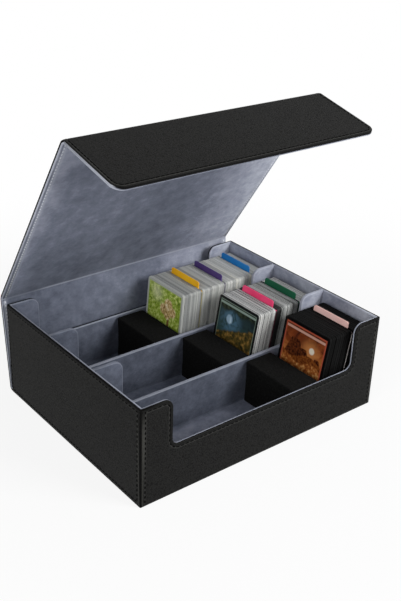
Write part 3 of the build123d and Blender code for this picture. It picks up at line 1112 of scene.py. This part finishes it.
# %% Moonlit cards
lake = CardFinish("moonlit_cards", 65.0, 90.0, Specular_IOR_Level=0.3)
mist = lake.noise(0.009, detail=5.0, twist=1.0)
leaves = lake.noise(0.004, detail=4.0)
night = (lake.v * 0.5 + mist * 0.5).colours((0.5, "#2c4440"), (0.62, "#26383a"), (0.78, "#141d1c"))
night = (lake.disc(9, 66, 15, 9.0) * mist.past(0.42, 0.12)).mixed(night, paint("#4f7388"))
night = lake.disc(11, 68, 5.0, 1.2).mixed(night, mist.colours((0.35, "#7fa3c0"), (0.65, "#c3dbe8")))
bank = (leaves * 0.7 + mist * 0.3).colours((0.38, "#1c2416"), (0.52, "#5d4d22"), (0.64, "#a57e42"))
bank = (lake.y + lake.x * 0.35 - 55 - mist * 6).past(0.0, 1.5).mixed(bank, night)
canopy = (lake.y - (lake.x * 0.25).sine() * 2 + leaves * 5).past(80, 2.0)
picture = canopy.mixed(bank, leaves.colours((0.4, "#10160f"), (0.65, "#3b4630")))
picture = lake.band(83.5, 1.2).mixed(picture, paint("#93a79b"))
picture = lake.inside(3.9).mixed(paint("#8ea394"), picture)
picture = lake.inside(3.3).mixed(paint("#090a0a"), picture)
dark_edges = ((0.0, "#141515"), (0.06, "#2a2b2b"))
mixed_edges = (*dark_edges, (0.14, "#8f918f"), (0.5, "#b9bab8"), (1.0, "#d3d3d0"))
lake.dress(picture, mixed_edges, ("#4b3a2a", "#8a7456"), 0.35)
print("card finish:", lake.material.name)

# %% [markdown]
# ## The dunes
# The front row's cards stand in black sleeves, with a thin red frame round a desert at sunset. Hills
# could be traced as outlines; here a dune's crest is one sine wave, and a table mountain is a distance
# from its middle that grows towards the foot.

# %% Dune sleeves
dunes = CardFinish("dune_sleeves", 66.0, 91.0, Specular_IOR_Level=0.05)
haze = dunes.noise(0.009, detail=5.0, twist=0.8)
grit = dunes.noise(0.0025, detail=4.0)
dusk = (dunes.v * 0.5 + haze * 0.5).colours((0.5, "#b5703a"), (0.62, "#84401f"), (0.76, "#451e12"))
dusk = (dunes.disc(-10, 66, 10, 8.0) * 0.7).mixed(dusk, paint("#d08c50"))
dusk = dunes.disc(-12, 68, 3.6, 0.8).mixed(dusk, paint("#e6dcc8"))
mesas = dunes.either(dunes.mesa(12, 6, 73), dunes.mesa(-1, 4, 66), dunes.mesa(-21, 3, 62))
dusk = mesas.mixed(dusk, grit.colours((0.4, "#2a120b"), (0.62, "#6a3519")))
far_dune = dunes.ridge(57, 4, 0.12, 2.9).mixed(dusk, grit.colours((0.4, "#5a2c12"), (0.62, "#8a4c20")))
sand = (haze * 0.6 + grit * 0.4).colours((0.4, "#6e3419"), (0.52, "#a05e2c"), (0.62, "#cf9a5e"))
picture = dunes.ridge(51, 3, 0.15, 4.0, 1.0).mixed(far_dune, sand)
picture = dunes.band(83.0, 1.3).mixed(picture, paint("#c69a88"))
picture = dunes.inside(5.0).mixed(paint("#a8503a"), picture)
picture = dunes.inside(3.4).mixed(paint("#0b0a0a"), picture)
sleeve_edges = ((0.0, "#040404"), (0.6, "#0a0a0a"), (0.93, "#121212"), (1.0, "#232221"))
dunes.dress(picture, sleeve_edges, ("#0c0c0c", "#101010"), 0.3)
print("card finish:", dunes.material.name)

# %% [markdown]
# ## Stacks of cards
# A stack isn't a block: cards cling together in bundles of a few, every bundle stands a little higher
# or further out than the next, and the edges differ in tone. An array modifier repeats one card evenly,
# which looks like a block again. So each bundle and each card gets its own small shifts from a seeded
# draw, a thin gap is left behind each bundle, whose last card is thin and darkened as painted shade of
# that gap, and the whole stack is worked out at once.

# %% Stacks of cards
card_round = 3.0
row_looks = {  # finish, slot, thickness of a card and of a bundle
    "rear": (meadow, "card", 0.37, 3.0),
    "middle": (lake, "card", 0.37, 2.3),
    "front": (dunes, "sleeve", 0.75, 3.0),
}
# Some stacks start with dark cards, so many millimetres of them; on others the edges are darkened or
# brightened as painted shade and light on the stack's side.
dark_cards = {"middle_cards_2": 6.0}
stack_light_and_shade = {"rear_cards_1": 0.5, "rear_cards_2": 0.7, "rear_cards_3": 1.1, "middle_cards_2": 0.4}
bundle_slip, card_slip, most_aside, most_up = 0.2, 0.02, 0.6, 0.7
card_share, end_card_share, gap_shade_tone = 0.97, 0.15, 0.2
draw = np.random.default_rng(7)


def card_stack(node, first, thick, tilt, width, height, y_middle, finish, slot, card_step, bundle_size):
    """Card n stands n steps behind the first. A point = foot + step x n + up the lean + across, where
    up and across come from a rounded rectangle and the small shifts of a card and of its bundle. The
    last card of a bundle is thin and darkened, as painted shade of the gap behind it."""
    count = int(round(thick / card_step))
    step = thick / count
    near = np.arange(count) * step
    outline = rounded(rectangle(width / 2, 0, height), [card_round] * 4, [0] * 4, steps=4)[0]
    bundle = np.searchsorted(np.cumsum(bundle_size * draw.uniform(0.7, 1.3, count)), near)
    bundles = bundle[-1] + 1
    loose = draw.normal(0, bundle_slip, (2, bundles))[:, bundle]
    loose = loose + draw.normal(0, card_slip, (2, count))
    shift = np.clip(loose[0], -most_aside, most_aside)
    lift = np.abs(np.clip(loose[1], -most_up, most_up))
    shift[0] = lift[0] = 0
    tone = 0.14 + 0.6 * draw.random(bundles)[bundle] + 0.26 * draw.random(count)
    ends_bundle = np.append(np.diff(bundle) > 0, True)
    # The darkened end card is painted shade of the gap behind its bundle.
    tone[ends_bundle] *= gap_shade_tone
    # Painted shade and light: some stacks' edges are darker or paler.
    tone = np.clip(tone * stack_light_and_shade.get(node, 1.0), 0, 1)
    tone[near < dark_cards.get(node, 0.0)] = 0.0
    far = near + np.where(ends_bundle, end_card_share, card_share) * step
    across = outline[None, None, :, 0] + shift[:, None, None]
    rise = outline[None, None, :, 1] + lift[:, None, None]
    n = len(outline)
    behind = np.broadcast_to(np.stack([near, far], axis=1)[:, :, None], (count, 2, n))
    tilted = np.radians(tilt)
    points = np.stack(
        [
            first + behind + rise * np.sin(tilted),
            y_middle + np.broadcast_to(across, behind.shape),
            panel + np.broadcast_to(rise * np.cos(tilted), behind.shape),
        ],
        axis=3,
    )
    ring = np.arange(n)
    after = (ring + 1) % n
    one = np.stack([ring, after, n + after, n + ring], axis=1).tolist()
    one += [ring[::-1].tolist(), (n + ring).tolist()]
    faces = [[corner + 2 * n * k for corner in face] for k in range(count) for face in one]
    flat = np.zeros(len(faces), bool)
    piece = new_piece(node + "_loose", points * mm, faces, flat, finish.material, node, [node])
    mark_points(piece, "tone", np.repeat(tone, 2 * n))
    share = outline / (width, height) + (0.5, 0.0)
    map_of_one = np.concatenate([np.full((4 * n, 2), -1.0), share[::-1], share + (2.0, 0.0)])
    lay_map(piece, np.tile(map_of_one, (count, 1)))
    return count


for row, (aside, tilt, width, height, thicks) in rows.items():
    for place, (first, thick) in enumerate(zip(feet[row], thicks), 1):
        node = f"{row}_cards_{place}"
        where = (first, thick, tilt, width, height, row_middle[row] + aside)
        print(node + ":", card_stack(node, *where, *row_looks[row]), "cards")

# %% [markdown]
# ## Dividers and what is sealed inside
# The dividers are stamped from coloured plastic sheet. Their shape is right in the CAD model, so the
# CAD nodes stay and get a finish: the colour, a frosted grain and a little cloudiness in the sheet.
# The boards and magnets keep their CAD shapes in the same way.

# %% Dividers, boards and magnets
cut_edge_and_shade_band, cut_soft = 0.9, 0.2
sheet_colours = {  # row, two shades of the sheet, and the colour of its cut edge and side band, dark on pink and green as painted shade between the stacks
    "orange": ("rear", "#f2ab04", "#ffc524", "#b0a780"),
    "purple": ("rear", "#43306c", "#5c4788", "#8d8a96"),
    "blue": ("rear", "#1673bd", "#2c92d8", "#3f7396"),
    "pink": ("middle", "#f6306a", "#ff5c8c", "#3a1420"),
    "green": ("middle", "#0a4f34", "#146443", "#12281c"),
    "rose": ("front", "#fcc5bb", "#ffdcd4", "#f4ece8"),
}


def dress_node(node, finish):
    """A CAD node keeps its mesh and gets the finish in place of its own."""
    materials = frame["nodes"][node].data.materials
    materials.clear()
    materials.append(finish.material)


for colour, (row, deep, pale, cut) in sheet_colours.items():
    aside, _, width = rows[row][:3]
    plastic = Finish(f"frosted_{colour}", Specular_IOR_Level=0.3)
    frost = plastic.noise(0.0007, detail=2.0)
    cloud = plastic.noise(0.03, detail=3.0)
    sheet = (cloud * 0.8 + frost * 0.2).colours((0.3, deep), (0.7, pale))
    from_middle = abs(plastic.split()[1] - (row_middle[row] + aside) * mm)
    # A band along the sheet's sides takes the cut edge's colour; on pink and green it is dark, painted
    # shade deep between the stacks.
    rim = from_middle.past((width / 2 - cut_edge_and_shade_band) * mm, cut_soft * mm)
    plastic.feed("Base Color", rim.mixed(sheet, paint(cut)))
    plastic.feed("Roughness", frost.between(0.38, 0.58))
    plastic.raise_by(frost, 0.00006)
    dress_node(f"divider_{colour}", plastic)
for node in frame["nodes"]:
    if node.endswith("_board"):
        dress_node(node, board)
    elif node.endswith("_magnets"):
        dress_node(node, nickel)
print("dressed", len(sheet_colours), "dividers and the sealed boards and magnets")

# %% [markdown]
# ## Floor and room
# The box stands on a white table in a bright room. More light would make the table white, and bleach
# the velvet with it. So the floor shows white only to the camera, to gloss and to glass: near the box
# a small share of the real paper still shows its shadow, and the room behind is white in the same way.

# %% Floor and room
floor_half, floor_drop, room_light = 6, 0.0003, 0.15
white = (1, 1, 1, 1)


def seen_itself(start):
    """1 for rays from the camera, off gloss or through glass, 0 for those that only carry light."""
    camera_ray = start.node("ShaderNodeLightPath", output="Is Camera Ray")
    seen = camera_ray.most(camera_ray.beside("Is Glossy Ray"))
    return seen.most(camera_ray.beside("Is Transmission Ray"))


floor = bpy.data.objects.new("floor", bpy.data.meshes.new("floor"))
corners = [(x, y, -floor_drop) for x, y in rectangle(floor_half, -floor_half, floor_half)]
floor.data.from_pydata(corners, [], [(0, 1, 2, 3)])
bpy.context.scene.collection.objects.link(floor)
paper = Finish("white_table", Roughness=0.9, Specular_IOR_Level=0.1, Base_Color=(0.9, 0.9, 0.9, 1.0))
nodes = paper.start.node
glow = nodes("ShaderNodeEmission", {}, {"Color": white, "Strength": 1.0})
from_box = nodes("ShaderNodeVectorMath", {"operation": "LENGTH"}, {0: paper.place}, output="Value")
share = seen_itself(paper.start) * from_box.past(0.45, 0.25).between(0.88, 1.0)
solid = Field(paper.tree, paper.shader.outputs["BSDF"])
shown = nodes("ShaderNodeMixShader", {}, {0: share, 1: solid, 2: glow})
paper.tree.links.new(shown.socket, paper.tree.nodes["Material Output"].inputs["Surface"])
floor.data.materials.append(paper.material)

world = bpy.data.worlds.new("studio")
bpy.context.scene.world = world
world.use_nodes = True
sky = Field(world.node_tree, None)
room = sky.node("ShaderNodeBackground", {}, {"Color": white, "Strength": room_light})
backdrop = sky.node("ShaderNodeBackground", {}, {"Color": white, "Strength": 1.0})
shown = sky.node("ShaderNodeMixShader", {}, {0: seen_itself(sky), 1: room, 2: backdrop})
sky.tree.links.new(shown.socket, sky.tree.nodes["World Output"].inputs["Surface"])
print("a white floor of", 2 * floor_half, "m in a room with a light of", room_light)

# %% [markdown]
# ## Lamps
# Product photographs are lit with softboxes, here one in front at the right, a wide one on the left and
# a weak one above. A sun lamp would give every stitch a hard shadow; a large square lamp close by gives
# a soft one. Strong lamps would bleach the velvet, so they stay at a plain level.

# %% Lamps


def softbox(name, spot, aim, size, watts):
    """A square lamp whose local -Z looks from its spot to its aim."""
    lamp = bpy.data.lights.new(name, "AREA")
    lamp.shape, lamp.size, lamp.energy = "SQUARE", size, watts
    stand = bpy.data.objects.new(name, lamp)
    away = unit(np.array(spot, float) - np.array(aim, float))
    side = unit(np.cross(up, away))
    turn = np.eye(4)
    turn[:3, 0], turn[:3, 1], turn[:3, 2], turn[:3, 3] = side, np.cross(away, side), away, spot
    stand.matrix_world = turn.T.tolist()
    bpy.context.scene.collection.objects.link(stand)


middle_of_box = (0, 0, 0.1)
softbox("front_softbox", (0.85, -1.6, 1.05), middle_of_box, 0.9, 37)
softbox("left_softbox", (-1.7, -0.8, 0.9), middle_of_box, 1.4, 20)
softbox("top_softbox", (0.1, -0.5, 1.9), middle_of_box, 1.4, 2)
bpy.context.scene.view_settings.view_transform = "Standard"
print("three softboxes")
